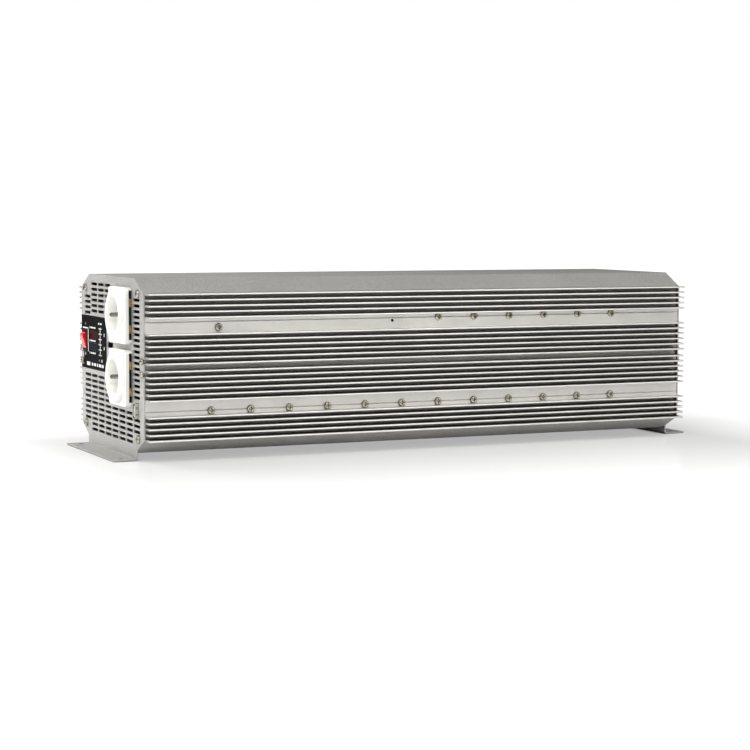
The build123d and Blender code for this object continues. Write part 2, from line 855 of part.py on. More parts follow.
    with BuildPart() as pin:
        with BuildSketch(front_plane(-floor_back - earth_pin_root)):
            with Locations(earth_point):
                Circle(earth_pin_radius)
        extrude(amount=socket_rim - part_gap + floor_back + earth_pin_root)
        fillet(pin.edges().group_by(Axis.Y)[0], earth_pin_radius - 0.2)
    save(pin, f"{prefix}_earth_pin")


socket("upper", upper_socket_z)
socket("lower", lower_socket_z)


# ---------------------------------------------------------------- USB port
usb_corner = 0.9
usb_inner_corner = 0.5
usb_spring_hole = (2.6, 2.2)
usb_spring_offset = 3.6
tongue_thickness = 1.9
tongue_width = 11.2
tongue_offset = 1.4
tongue_base_depth = 3.0
tongue_setback = 1.2
usb_board_width = 22.0
usb_board_height = 24.0

with BuildPart() as usb_shell:
    with BuildSketch(front_plane(usb_proud)):
        with Locations((usb_x, usb_z)):
            RectangleRounded(usb_width, usb_height, usb_corner)
            RectangleRounded(usb_width - 2 * usb_wall, usb_height - 2 * usb_wall, usb_inner_corner,
                             mode=Mode.SUBTRACT)
    extrude(amount=-(usb_depth + usb_proud))
    with BuildSketch(Plane.YZ.offset(usb_x + usb_width / 2 - 2 * usb_wall)):
        with Locations((-face_y - usb_proud / 2, usb_z + usb_spring_offset),
                       (-face_y - usb_proud / 2, usb_z - usb_spring_offset)):
            Rectangle(*usb_spring_hole)
    extrude(amount=3 * usb_wall, mode=Mode.SUBTRACT)
save(usb_shell, "usb_shell")

with BuildPart() as usb_tongue:
    with BuildSketch(front_plane(-usb_depth)):
        with Locations((usb_x, usb_z)):
            RectangleRounded(usb_width - 2 * usb_wall, usb_height - 2 * usb_wall, usb_inner_corner)
    extrude(amount=tongue_base_depth)
    with BuildSketch(front_plane(tongue_base_depth - usb_depth)):
        with Locations((usb_x - tongue_offset, usb_z)):
            Rectangle(tongue_thickness, tongue_width)
    extrude(amount=usb_depth - tongue_base_depth + usb_proud - tongue_setback)
save(usb_tongue, "usb_tongue")

with BuildPart() as usb_board:
    with BuildSketch(front_plane(-usb_depth)):
        with Locations((usb_x - 3.0, usb_z + 2.0)):
            Rectangle(usb_board_width, usb_board_height)
    extrude(amount=-small_board_thickness)
save(usb_board, "usb_board")


# ---------------------------------------------------------------- fans
fan_corner_radius = 4.0
spoke_width = 3.6
hub_gap = 0.8
hub_end_gap = 1.4
hub_rounding = 1.5
blade_chord = 21.0
blade_thickness = 1.4
blade_pitch_angle = 38.0
blade_root = 1.2
guard_ear_radius = 4.4
guard_bar_size = 1.9


def fan(suffix, x):
    """Square fan with its rotor, and the wire guard outside the rear panel."""
    inside_y = core_length / 2 - fan_depth
    inside_plane = Plane.XZ.offset(-inside_y)
    corner_holes = [(x + dx * fan_corner, fan_z + dz * fan_corner) for dx in (-1, 1) for dz in (-1, 1)]
    spoke_start = fan_motor_radius - 2
    with BuildPart() as frame:
        with BuildSketch(inside_plane):
            with Locations((x, fan_z)):
                RectangleRounded(fan_size, fan_size, fan_corner_radius)
                Circle(fan_bore_radius, mode=Mode.SUBTRACT)
        extrude(amount=-fan_depth)
        with BuildSketch(inside_plane):
            with Locations((x, fan_z)):
                Circle(fan_motor_radius)
                with PolarLocations(0, 4, start_angle=45):
                    with Locations(((spoke_start + fan_bore_radius + 1) / 2, 0)):
                        Rectangle(fan_bore_radius + 1 - spoke_start, spoke_width)
        extrude(amount=-fan_motor_depth)
        with BuildSketch(inside_plane):
            with Locations((x, fan_z)):
                Circle(fan_shaft_radius + fan_shaft_fit)
        extrude(amount=-fan_motor_depth, mode=Mode.SUBTRACT)
        with BuildSketch(inside_plane):
            with Locations(*corner_holes):
                Circle(plate_screw_radius)
        extrude(amount=-fan_depth, mode=Mode.SUBTRACT)
    save(frame, f"fan_frame_{suffix}")

    hub_start = inside_y + fan_motor_depth + hub_gap
    hub_depth = fan_depth - fan_motor_depth - hub_gap - hub_end_gap
    blade_middle = hub_start + hub_depth / 2
    blade_length = fan_blade_reach - fan_hub_radius + blade_root
    blade_centre = fan_blade_reach - blade_length / 2
    with BuildPart() as rotor:
        with BuildSketch(Plane.XZ.offset(-hub_start)):
            with Locations((x, fan_z)):
                Circle(fan_hub_radius)
        extrude(amount=-hub_depth)
        fillet(rotor.edges().group_by(Axis.Y)[-1], hub_rounding)
        with Locations(Plane(origin=(x, blade_middle, fan_z), x_dir=(1, 0, 0), z_dir=(0, 1, 0))):
            with PolarLocations(0, fan_blade_count):
                with Locations(Location((blade_centre, 0, 0), (blade_pitch_angle, 0, 0))):
                    Box(blade_length, blade_chord, blade_thickness)
        with BuildSketch(inside_plane):
            with Locations((x, fan_z)):
                Circle(fan_shaft_radius)
        extrude(amount=-(fan_motor_depth + 2 * hub_gap))
    save(rotor, f"fan_rotor_{suffix}")

    bar_y = face_y + guard_wire + part_gap
    with BuildPart() as guard:
        with BuildSketch(Plane(origin=(x, face_y, fan_z), x_dir=(1, 0, 0), z_dir=(0, 0, 1))):
            with Locations(*[(radius, 3 * guard_wire) for radius in guard_ring_radii]):
                Circle(guard_wire)
        revolve(axis=Axis((x, face_y, fan_z), (0, 1, 0)))
        for angle in (45, 135):
            with Locations(Plane(origin=(x, bar_y, fan_z), x_dir=(1, 0, 0), z_dir=(0, 1, 0))):
                with Locations(Location((0, 0, 0), (0, 0, angle))):
                    Box(guard_bar_length, guard_bar_size, guard_bar_size)
        with BuildSketch(rear_face):
            with Locations(*mirrored(corner_holes)):
                Circle(guard_ear_radius)
                Circle(clamp_hole_radius, mode=Mode.SUBTRACT)
        extrude(amount=guard_ear)
    save(guard, f"fan_guard_{suffix}")


fan("left", -fan_x)
fan("right", fan_x)

fan_head_radius = 3.8
fan_head_height = 2.2
fan_screw_length = 20.0
screws("fan_screws", [(rear_face.offset(guard_ear), {fan_head_radius: mirrored(fan_screw_points)})],
       fan_head_height, plate_screw_radius, fan_screw_length)


# ---------------------------------------------------------------- battery terminals
insulator_rounding = 1.5
bar_top_margin = 12.0
bar_foot_length = 30.0
bar_y = core_length / 2 - inner_bush - bus_bar_thickness
terminal_points = [(-terminal_x, terminal_z), (terminal_x, terminal_z)]


def terminal(pole, x):
    """Insulator through the rear panel, and the bus bar from the stud down to the main board."""
    with BuildPart() as insulator:
        with BuildSketch(rear_face):
            with Locations((-x, terminal_z)):
                Circle(insulator_radius)
        extrude(amount=insulator_thickness)
        fillet(insulator.edges().group_by(Axis.Y)[-1], insulator_rounding)
        with BuildSketch(rear_face):
            with Locations((-x, terminal_z)):
                Circle(bush_radius)
        extrude(amount=-(sheet + inner_bush))
        with BuildSketch(rear_face.offset(insulator_thickness)):
            with Locations((-x, terminal_z)):
                Circle(stud_radius)
        extrude(amount=-(insulator_thickness + sheet + inner_bush), mode=Mode.SUBTRACT)
    save(insulator, f"{pole}_insulator")

    bar_top = terminal_z + bar_top_margin
    with BuildPart() as bar:
        with BuildSketch(Plane.XZ.offset(-bar_y)):
            with Locations((x, (bar_top + lower_board_top) / 2)):
                Rectangle(bus_bar_width, bar_top - lower_board_top)
            with Locations((x, terminal_z)):
                Circle(stud_radius, mode=Mode.SUBTRACT)
        extrude(amount=-bus_bar_thickness)
        with BuildSketch(Plane.XY.offset(lower_board_top)):
            with Locations((x, bar_y + bus_bar_thickness - bar_foot_length / 2)):
                Rectangle(bus_bar_width, bar_foot_length)
        extrude(amount=bus_bar_thickness)
    save(bar, f"{pole}_bus_bar")


terminal("positive", -terminal_x)
terminal("negative", terminal_x)

washer_top = face_y + insulator_thickness + washer_thickness
outer_nut_y = washer_top + terminal_nut_thickness
thread_chamfer = 0.8
with BuildPart() as terminal_studs:
    with BuildSketch(Plane.XZ.offset(-stud_inner_y)):
        with Locations(*terminal_points):
            Circle(stud_radius)
    extrude(amount=-(outer_nut_y - stud_inner_y))
    with BuildSketch(Plane.XZ.offset(-outer_nut_y)):
        with Locations(*terminal_points):
            Circle(stud_tip_radius)
    extrude(amount=-stud_tip_length)
    chamfer(terminal_studs.edges().group_by(Axis.Y)[-1], thread_chamfer)
save(terminal_studs, "terminal_studs")


def hex_nuts(name, positions, across, thickness, bore):
    """Hexagon nuts, one solid each; positions give x, z and the rearmost face."""
    with BuildPart() as nuts:
        for x, z, outer_y in positions:
            with BuildSketch(Plane.XZ.offset(-outer_y)):
                with Locations((x, z)):
                    RegularPolygon(across / math.sqrt(3), 6)
                    Circle(bore, mode=Mode.SUBTRACT)
            extrude(amount=thickness)
    save(nuts, name)


nut_positions = [(x, z, y) for x, z in terminal_points for y in (bar_y, outer_nut_y)]
hex_nuts("terminal_nuts", nut_positions, terminal_nut_across, terminal_nut_thickness, stud_radius)

with BuildPart() as terminal_washers:
    with BuildSketch(rear_face.offset(insulator_thickness)):
        with Locations(*terminal_points):
            Circle(washer_radius)
            Circle(stud_radius, mode=Mode.SUBTRACT)
    extrude(amount=washer_thickness)
save(terminal_washers, "terminal_washers")

with BuildPart() as ground_stud:
    with BuildSketch(Plane.XZ.offset(-core_length / 2 + ground_head_height)):
        with Locations((0, ground_z)):
            RegularPolygon(ground_nut_across / math.sqrt(3), 6)
    extrude(amount=-ground_head_height)
    with BuildSketch(rear_core):
        with Locations((0, ground_z)):
            Circle(ground_radius)
    extrude(amount=-(sheet + ground_nut_height))
    with BuildSketch(Plane.XZ.offset(-face_y - ground_nut_height)):
        with Locations((0, ground_z)):
            Circle(ground_tip_radius)
    extrude(amount=-ground_tip_length)
    chamfer(ground_stud.edges().group_by(Axis.Y)[-1], thread_chamfer / 2)
save(ground_stud, "ground_stud")
hex_nuts("ground_nut", [(0, ground_z, face_y + ground_nut_height)], ground_nut_across, ground_nut_height,
         ground_radius)


# ---------------------------------------------------------------- boards
lower_board_front = -300.0
lower_board_rear = 312.0
upper_board_front = -30.0
upper_board_rear = 290.0


def board(name, z, front, rear):
    with BuildPart() as plate:
        with BuildSketch(Plane.XY.offset(z)):
            with Locations((0, (front + rear) / 2)):
                Rectangle(2 * board_half_width, rear - front)
        extrude(amount=board_thickness)
    save(plate, name)


board("main_board", lower_board_z, lower_board_front, lower_board_rear)
board("output_board", upper_board_z, upper_board_front, upper_board_rear)


# ---------------------------------------------------------------- transistors and clamp bars
def package_sketch(side, level, screw_ys):
    """Packages standing on either side of every clamp screw."""
    inner = web_inner - pad_thickness - package_depth
    screw_z = seam_z + level * groove_height
    with BuildSketch(Plane.YZ.offset(side * inner)) as packages:
        for shift in (-screw_pitch / 4, screw_pitch / 4):
            with Locations(*[(y + shift, screw_z) for y in screw_ys]):
                Rectangle(package_width, package_height)
    return packages.sketch


def leg_sketch(side, level, screw_ys):
    """Three legs from each package to its board."""
    inner = web_inner - pad_thickness - package_depth
    board_face = lower_board_top if level < 0 else upper_board_z
    leg_start = seam_z + level * (groove_height + package_height / 2)
    with BuildSketch(Plane.YZ.offset(side * inner)) as legs:
        for shift in (-screw_pitch / 4, screw_pitch / 4):
            for step in (-leg_pitch, 0, leg_pitch):
                with Locations(*[(y + shift + step, (board_face + leg_start) / 2) for y in screw_ys]):
                    Rectangle(leg_width, abs(board_face - leg_start))
    return legs.sketch


def strip_sketch(side, level, screw_ys, out, height, hole_radius):
    """Outline of a strip along one band, pierced by the clamp screws."""
    screw_z = seam_z + level * groove_height
    middle = (screw_ys[0] + screw_ys[-1]) / 2
    length = screw_ys[-1] - screw_ys[0] + screw_pitch - strip_end_gap
    with BuildSketch(Plane.YZ.offset(side * out)) as strip:
        with Locations((middle, screw_z)):
            Rectangle(length, height)
        with Locations(*[(y, screw_z) for y in screw_ys]):
            Circle(hole_radius, mode=Mode.SUBTRACT)
    return strip.sketch


row_screw_ys = {-1: all_screw_ys, 1: upper_screw_ys}
clamp_rows = [(side, level, row_screw_ys[level]) for side, level in quarters]
bar_outer = web_inner - pad_thickness - package_depth

with BuildPart() as power_transistors:
    for side, level, ys in clamp_rows:
        extrude(package_sketch(side, level, ys), amount=side * package_depth)
        extrude(leg_sketch(side, level, ys), amount=side * leg_thickness)
save(power_transistors, "power_transistors")

with BuildPart() as clamp_bars:
    for side, level, ys in clamp_rows:
        outline = strip_sketch(side, level, ys, bar_outer, bar_height, clamp_screw_radius)
        extrude(outline, amount=-side * clamp_bar_thickness)
save(clamp_bars, "clamp_bars")

with BuildPart() as insulating_strips:
    for side, level, ys in clamp_rows:
        outline = strip_sketch(side, level, ys, web_inner, pad_height, clamp_hole_radius)
        extrude(outline, amount=-side * pad_thickness)
save(insulating_strips, "insulating_strips")

thermostat_depth = 5.0
thermostat_width = 16.0
thermostat_height = 24.0
with BuildPart() as thermostats:
    for side in (-1, 1):
        with BuildSketch(Plane.YZ.offset(side * web_inner)):
            with Locations((lone_screw_y, lone_screw_z)):
                Rectangle(thermostat_width, thermostat_height)
                Circle(spare_hole_radius, mode=Mode.SUBTRACT)
        extrude(amount=-side * thermostat_depth)
save(thermostats, "thermostats")


# ---------------------------------------------------------------- transformers
core_x = 55.0
core_y = 22.0
core_z = 48.0
core_leg = 12.0
coil_room = (core_z - 3 * core_leg) / 2
coil_wall = 5.6
coil_gap = 0.2
coil_rounding = 5.0
transformer_xs = (-42.0, 42.0)
transformer_ys = (-190.0, -110.0, -30.0, 50.0)
transformer_points = [(x, y) for x in transformer_xs for y in transformer_ys]
core_middle_z = lower_board_top + core_z / 2

with BuildPart() as transformer_cores:
    for x, y in transformer_points:
        with BuildSketch(Plane.XZ.offset(-y)):
            with Locations((x, core_middle_z)):
                Rectangle(core_x, core_z)
            with Locations(*[(x, core_middle_z + level * (core_leg + coil_room) / 2) for level in (-1, 1)]):
                Rectangle(core_x - 2 * core_leg, coil_room, mode=Mode.SUBTRACT)
        extrude(amount=core_y / 2, both=True)
save(transformer_cores, "transformer_cores")

with BuildPart() as transformer_windings:
    for x, y in transformer_points:
        with BuildSketch(Plane.YZ.offset(x)):
            with Locations((y, core_middle_z)):
                RectangleRounded(core_y + 2 * coil_wall, core_leg + 2 * coil_wall, coil_rounding)
                Rectangle(core_y + 2 * coil_gap, core_leg, mode=Mode.SUBTRACT)
        extrude(amount=core_x / 2 - core_leg - coil_gap, both=True)
save(transformer_windings, "transformer_windings")


# ---------------------------------------------------------------- capacitors, fuses, choke, control board
can_rounding = 1.0
small_can_radius = 9.0
small_can_height = 36.0
large_can_radius = 17.5
large_can_height = 26.0
fuse_width = 5.2
fuse_length = 19.0
fuse_height = 13.0
fuse_pitch = 16.0
fuse_count = 8
fuse_first_x = -87.0
fuse_y = 252.0
output_board_top = upper_board_z + board_thickness


def cylinders(name, points, z, radius, height):
    with BuildPart() as group:
        with BuildSketch(Plane.XY.offset(z)):
            with Locations(*points):
                Circle(radius)
        extrude(amount=height)
        fillet(group.edges().group_by(Axis.Z)[-1], can_rounding)
    save(group, name)


input_capacitor_points = [(22.0 * step, y) for step in range(-3, 4) for y in (190.0, 214.0)]
cylinders("input_capacitors", input_capacitor_points, lower_board_top, small_can_radius, small_can_height)
output_capacitor_points = [(52.0 * step, y) for step in (-1, 0, 1) for y in (30.0, 80.0)]
cylinders("output_capacitors", output_capacitor_points, output_board_top, large_can_radius, large_can_height)

with BuildPart() as fuses:
    with BuildSketch(Plane.XY.offset(lower_board_top)):
        with Locations(*[(fuse_first_x + fuse_pitch * step, fuse_y) for step in range(fuse_count)]):
            Rectangle(fuse_width, fuse_length)
    extrude(amount=fuse_height)
save(fuses, "blade_fuses")

choke_outer = 26.0
choke_inner = 13.0
choke_height = 18.0
choke_rounding = 3.0
choke_y = 190.0
with BuildPart() as output_choke:
    with BuildSketch(Plane.XY.offset(output_board_top)):
        with Locations((0, choke_y)):
            Circle(choke_outer)
            Circle(choke_inner, mode=Mode.SUBTRACT)
    extrude(amount=choke_height)
    fillet(output_choke.edges().group_by(Axis.Z)[-1], choke_rounding)
save(output_choke, "output_choke")

control_board_y = -250.0
control_board_x = -20.0
control_board_width = 110.0
control_board_height = 50.0
chip_length = 19.0
chip_width = 7.0
chip_thickness = 3.4
chip_pitch = 30.0
chip_z = 60.0

with BuildPart() as control_board:
    with BuildSketch(Plane.XZ.offset(-control_board_y)):
        with Locations((control_board_x, lower_board_top + control_board_height / 2)):
            Rectangle(control_board_width, control_board_height)
    extrude(amount=-small_board_thickness)
save(control_board, "control_board")

with BuildPart() as control_chips:
    with BuildSketch(Plane.XZ.offset(-control_board_y)):
        with Locations(*[(control_board_x + chip_pitch * step, chip_z) for step in (-1, 0, 1)]):
            Rectangle(chip_length, chip_width)
    extrude(amount=chip_thickness)
save(control_chips, "control_chips")
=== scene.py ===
import json
import math

import bpy
from mathutils import Matrix, Vector


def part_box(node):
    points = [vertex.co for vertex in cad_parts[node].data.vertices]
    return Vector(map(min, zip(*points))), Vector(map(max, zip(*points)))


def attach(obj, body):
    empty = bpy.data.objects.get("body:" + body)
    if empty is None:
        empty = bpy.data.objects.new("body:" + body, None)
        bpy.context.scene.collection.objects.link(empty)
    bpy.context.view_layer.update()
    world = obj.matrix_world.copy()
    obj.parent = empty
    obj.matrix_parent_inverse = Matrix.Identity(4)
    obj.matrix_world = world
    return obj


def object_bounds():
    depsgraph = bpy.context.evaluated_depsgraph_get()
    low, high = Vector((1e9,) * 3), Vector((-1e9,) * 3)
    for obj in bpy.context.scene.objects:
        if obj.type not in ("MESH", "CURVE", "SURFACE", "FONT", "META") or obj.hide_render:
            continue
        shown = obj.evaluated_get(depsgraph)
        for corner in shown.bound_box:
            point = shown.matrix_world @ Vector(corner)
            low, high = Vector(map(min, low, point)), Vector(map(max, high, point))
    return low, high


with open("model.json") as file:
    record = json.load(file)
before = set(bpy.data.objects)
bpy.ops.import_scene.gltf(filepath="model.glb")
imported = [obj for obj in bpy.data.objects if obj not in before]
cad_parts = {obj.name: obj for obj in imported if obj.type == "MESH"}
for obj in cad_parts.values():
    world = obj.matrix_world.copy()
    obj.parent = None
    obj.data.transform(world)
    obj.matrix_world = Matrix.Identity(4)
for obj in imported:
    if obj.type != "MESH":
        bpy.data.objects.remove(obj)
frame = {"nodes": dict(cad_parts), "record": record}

cad_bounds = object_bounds()
nodes = frame["nodes"]
MM = 0.001


# ------------------------------------------------------------------ shader helpers
class Shader:
    """A small builder for one node material; its patterns are scaled per millimetre of the object."""

    def __init__(self, name):
        self.material = bpy.data.materials.new(name)
        self.material.use_nodes = True
        self.tree = self.material.node_tree
        self.tree.nodes.clear()
        self.output = self.tree.nodes.new("ShaderNodeOutputMaterial")
        self.surface = self.tree.nodes.new("ShaderNodeBsdfPrincipled")
        self.link(self.surface.outputs[0], self.output.inputs[0])
        coords = self.tree.nodes.new("ShaderNodeTexCoord")
        scale = self.tree.nodes.new("ShaderNodeVectorMath")
        scale.operation = "SCALE"
        scale.inputs["Scale"].default_value = 1.0 / MM
        self.link(coords.outputs["Object"], scale.inputs[0])
        self.position = scale.outputs[0]

    def link(self, source, target):
        self.tree.links.new(source, target)

    def put(self, socket, value):
        """Links a socket or sets a constant on the surface shader."""
        self.feed(self.surface.inputs[socket], value)

    def feed(self, target, value):
        if isinstance(value, bpy.types.NodeSocket):
            self.link(value, target)
        elif isinstance(value, (tuple, list)) and len(value) == 3 and target.type == "RGBA":
            target.default_value = (*value, 1.0)
        else:
            target.default_value = value

    def stretch(self, factors):
        """The position in millimetres, multiplied axis by axis."""
        node = self.tree.nodes.new("ShaderNodeVectorMath")
        node.operation = "MULTIPLY"
        self.link(self.position, node.inputs[0])
        node.inputs[1].default_value = factors
        return node.outputs[0]

    def noise(self, scale, detail=3.0, roughness=0.5, vector=None):
        """Soft noise, about 0.3 to 0.7."""
        node = self.tree.nodes.new("ShaderNodeTexNoise")
        node.inputs["Scale"].default_value = scale
        node.inputs["Detail"].default_value = detail
        node.inputs["Roughness"].default_value = roughness
        self.link(vector or self.position, node.inputs["Vector"])
        return node.outputs["Fac"]

    def cells(self, scale, feature="F1", output="Distance", vector=None):
        """A cell pattern."""
        node = self.tree.nodes.new("ShaderNodeTexVoronoi")
        node.feature = feature
        node.inputs["Scale"].default_value = scale
        self.link(vector or self.position, node.inputs["Vector"])
        return node.outputs[output]

    def math(self, operation, a, b=0.0, clamp=False):
        node = self.tree.nodes.new("ShaderNodeMath")
        node.operation = operation
        node.use_clamp = clamp
        self.feed(node.inputs[0], a)
        self.feed(node.inputs[1], b)
        return node.outputs[0]

    def ramp(self, value, low, high, out_low=0.0, out_high=1.0):
        """The value moved from the range low to high into the range out_low to out_high, and held there."""
        node = self.tree.nodes.new("ShaderNodeMapRange")
        self.feed(node.inputs["Value"], value)
        node.inputs["From Min"].default_value = low
        node.inputs["From Max"].default_value = high
        node.inputs["To Min"].default_value = out_low
        node.inputs["To Max"].default_value = out_high
        return node.outputs[0]

    def mix(self, factor, a, b):
        """Colour a at factor 0 and colour b at factor 1."""
        node = self.tree.nodes.new("ShaderNodeMix")
        node.data_type = "RGBA"
        self.feed(node.inputs["Factor"], factor)
        self.feed(node.inputs["A"], a)
        self.feed(node.inputs["B"], b)
        return node.outputs["Result"]

    def edge(self, radius, low=0.02, high=0.35):
        """1 along sharp edges and 0 on flats, found by comparing a rounded normal with the real one."""
        bevel = self.tree.nodes.new("ShaderNodeBevel")
        bevel.inputs["Radius"].default_value = radius * MM
        geometry = self.tree.nodes.new("ShaderNodeNewGeometry")
        dot = self.tree.nodes.new("ShaderNodeVectorMath")
        dot.operation = "DOT_PRODUCT"
        self.link(bevel.outputs[0], dot.inputs[0])
        self.link(geometry.outputs["Normal"], dot.inputs[1])
        turned = self.math("SUBTRACT", 1.0, dot.outputs["Value"])
        return self.ramp(turned, low, high)

    def crevice(self, distance, samples=4):
        """0 in tight corners and 1 in the open."""
        node = self.tree.nodes.new("ShaderNodeAmbientOcclusion")
        node.inputs["Distance"].default_value = distance * MM
        node.samples = samples
        return node.outputs["AO"]

    def bump(self, height, strength, distance, bevel_radius=0.0):
        """Relief on the surface shader, with softened edges if there is a bevel radius in mm."""
        node = self.tree.nodes.new("ShaderNodeBump")
        node.inputs["Strength"].default_value = strength
        node.inputs["Distance"].default_value = distance * MM
        self.link(height, node.inputs["Height"])
        if bevel_radius:
            bevel = self.tree.nodes.new("ShaderNodeBevel")
            bevel.inputs["Radius"].default_value = bevel_radius * MM
            self.link(bevel.outputs[0], node.inputs["Normal"])
        self.put("Normal", node.outputs[0])


# ------------------------------------------------------------------ materials
def hammered_paint():
    """Silver-grey stove enamel with metal flake: a fine pebble, tiny bright specks, thin wear on the edges."""
    s = Shader("hammered_paint")
    pebble = s.cells(0.95, "SMOOTH_F1")
    tint = s.cells(1.1, "F1", "Color")
    grain = s.noise(1.7, 4.0, 0.7)
    fleck = s.ramp(s.noise(2.6, 2.0, 0.6), 0.58, 0.72)
    pit = s.ramp(s.noise(2.2, 2.0, 0.6, s.stretch((1.0, 1.0, 1.3))), 0.62, 0.74)
    cloud = s.noise(0.018, 3.0, 0.5)
    shade = s.math("ADD", s.math("MULTIPLY", grain, 0.55), s.math("MULTIPLY", cloud, 0.30))
    base = s.mix(s.ramp(shade, 0.25, 0.62), (0.37, 0.364, 0.352), (0.56, 0.553, 0.537))
    pebbled = s.mix(s.math("MULTIPLY", s.ramp(tint, 0.0, 1.0), 0.30), base, (0.43, 0.423, 0.41))
    coarse = s.ramp(s.noise(0.62, 2.0, 0.7), 0.42, 0.64, 0.0, 0.62)
    mottled = s.mix(coarse, pebbled, (0.25, 0.245, 0.235))
    flecked = s.mix(s.math("MULTIPLY", fleck, 0.70), mottled, (0.95, 0.945, 0.93))
    pitted = s.mix(s.math("MULTIPLY", pit, 0.50), flecked, (0.24, 0.235, 0.23))
    worn = s.mix(s.math("MULTIPLY", s.edge(0.5), 0.35), pitted, (0.88, 0.875, 0.86))
    # painted shade: the enamel goes dark in corners and recesses, where shade falls
    shade_darkened_paint = s.mix(s.ramp(s.crevice(6.0), 0.05, 0.78, 0.97, 0.0), worn, (0.030, 0.029, 0.027))
    s.put("Base Color", shade_darkened_paint)
    s.put("Metallic", s.ramp(grain, 0.3, 0.7, 0.25, 0.45))
    s.put("Roughness", s.ramp(s.noise(0.9, 3.0, 0.6), 0.3, 0.7, 0.36, 0.48))
    s.bump(s.math("ADD", pebble, s.math("MULTIPLY", grain, 0.4)), 0.35, 0.12, 0.35)
    return s.material


def extruded_aluminium():
    """Bare extrusion: die lines along its length, soft stains, a painted highlight on rounded edges, painted shade
    in the deep channels, which are also less metallic.
    """
    s = Shader("extruded_aluminium")
    lines = s.noise(1.0, 4.0, 0.7, s.stretch((2.2, 0.006, 2.2)))
    scratch = s.noise(1.0, 2.0, 0.5, s.stretch((0.5, 0.035, 5.0)))
    stain = s.noise(0.02, 4.0, 0.55)
    speck = s.ramp(s.noise(2.4, 2.0, 0.6), 0.62, 0.76)
    tone = s.math("ADD", s.math("MULTIPLY", lines, 0.5), s.math("MULTIPLY", stain, 0.5))
    base = s.mix(s.ramp(tone, 0.30, 0.70), (0.54, 0.528, 0.505), (0.71, 0.697, 0.668))
    specked = s.mix(s.math("MULTIPLY", speck, 0.35), base, (0.30, 0.295, 0.285))
    # painted highlight: rounded edges and fin tips are lightened in the colour, standing in for the light they
    # catch
    bright = s.mix(s.math("MULTIPLY", s.edge(0.6, 0.01, 0.20), 0.80), specked, (0.97, 0.965, 0.95))
    open_air = s.crevice(13.0, 8)
    # painted shade: the colour goes dark in the deep channels between the fins, where shade falls
    shaded = s.mix(s.ramp(open_air, 0.12, 0.42, 0.98, 0.0), bright, (0.026, 0.023, 0.020))
    s.put("Base Color", shaded)
    s.put("Metallic", s.ramp(open_air, 0.10, 0.50, 0.40, 0.92))
    s.put("Specular IOR Level", 0.15)
    s.put("Roughness", s.ramp(s.math("ADD", lines, s.math("MULTIPLY", scratch, 0.5)), 0.4, 1.1, 0.36, 0.50))
    s.bump(s.math("ADD", lines, s.math("MULTIPLY", scratch, 0.6)), 0.14, 0.05, 0.35)
    return s.material


def plated(name, low, high, rough, patch=0.25, corner_shade=0.6, rim_shade=None):
    """Plated metal with fine patchiness, turning marks and painted shade in its recesses; the rim colour, when
    given, is painted shade along its sharp edges.
    """
    s = Shader(name)
    patchy = s.noise(patch, 4.0, 0.6)
    fine = s.noise(2.8, 3.0, 0.6)
    base = s.mix(s.ramp(patchy, 0.3, 0.7), low, high)
    if rim_shade:
        # painted shade: a dark rim along the sharp edges, standing in for the shadow around the screw head
        edged = s.mix(s.math("MULTIPLY", s.edge(1.3, 0.01, 0.14), 0.95), base, rim_shade)
    else:
        edged = s.mix(s.math("MULTIPLY", s.edge(0.25), 0.4), base, tuple(min(1.0, c * 1.12) for c in high))
    # painted shade: darker in recesses, where shade falls
    dark = s.mix(s.ramp(s.crevice(2.0), 0.1, 0.8, corner_shade, 0.0), edged, tuple(c * 0.18 for c in low))
    s.put("Base Color", dark)
    s.put("Metallic", 1.0)
    s.put("Roughness", s.ramp(fine, 0.3, 0.7, rough - 0.07, rough + 0.08))
    s.bump(fine, 0.12, 0.05, 0.18)
    return s.material


def plastic(name, low, high, rough, texture=0.0, corner_shade=0.35, bevel=0.3, subsurface=0.0, coat=0.0, specular=0.5):
    """Moulded plastic: cloudy tone, handled-smooth and rougher areas, painted shade in corners, optional fine
    texture.
    """
    s = Shader(name)
    cloud = s.noise(0.09, 4.0, 0.55)
    fine = s.noise(2.2, 4.0, 0.6)
    scuff = s.ramp(s.noise(1.0, 2.0, 0.5, s.stretch((0.25, 2.5, 0.9))), 0.62, 0.80)
    base = s.mix(s.ramp(cloud, 0.3, 0.7), low, high)
    edged = s.mix(s.math("MULTIPLY", s.edge(0.3), 0.18), base, tuple(min(1.0, c * 1.25 + 0.02) for c in high))
    # painted shade: darker in corners and recesses, where shade falls
    shaded = s.mix(s.ramp(s.crevice(5.0), 0.0, 0.8, corner_shade, 0.0), edged, tuple(c * 0.35 for c in low))
    s.put("Base Color", shaded)
    s.put("Roughness", s.math("ADD", s.ramp(fine, 0.3, 0.7, rough - 0.05, rough + 0.07),
                              s.math("MULTIPLY", scuff, 0.10)))
    s.put("IOR", 1.49)
    s.put("Specular IOR Level", specular)
    if subsurface:
        s.put("Subsurface Weight", subsurface)
        s.put("Subsurface Scale", 0.006)
        s.put("Subsurface Radius", (1.0, 0.85, 0.6))
    if coat:
        s.put("Coat Weight", coat)
        s.put("Coat Roughness", 0.06)
    s.bump(fine, 0.05 + texture, 0.05 + 0.1 * texture, bevel)
    return s.material


def laminate():
    """Green board lacquer with pale weave and copper-toned tracks under it."""
    s = Shader("board_laminate")
    weave = s.noise(1.0, 3.0, 0.6, s.stretch((1.6, 0.2, 1.6)))
    tracks = s.ramp(s.cells(0.11, "DISTANCE_TO_EDGE"), 0.02, 0.05)
    base = s.mix(s.ramp(weave, 0.3, 0.7), (0.006, 0.040, 0.019), (0.010, 0.066, 0.032))
    tracked = s.mix(tracks, (0.025, 0.10, 0.05), base)
    s.put("Base Color", tracked)
    s.put("Roughness", s.ramp(weave, 0.3, 0.7, 0.28, 0.42))
    s.bump(tracks, 0.2, 0.05, 0.2)
    return s.material


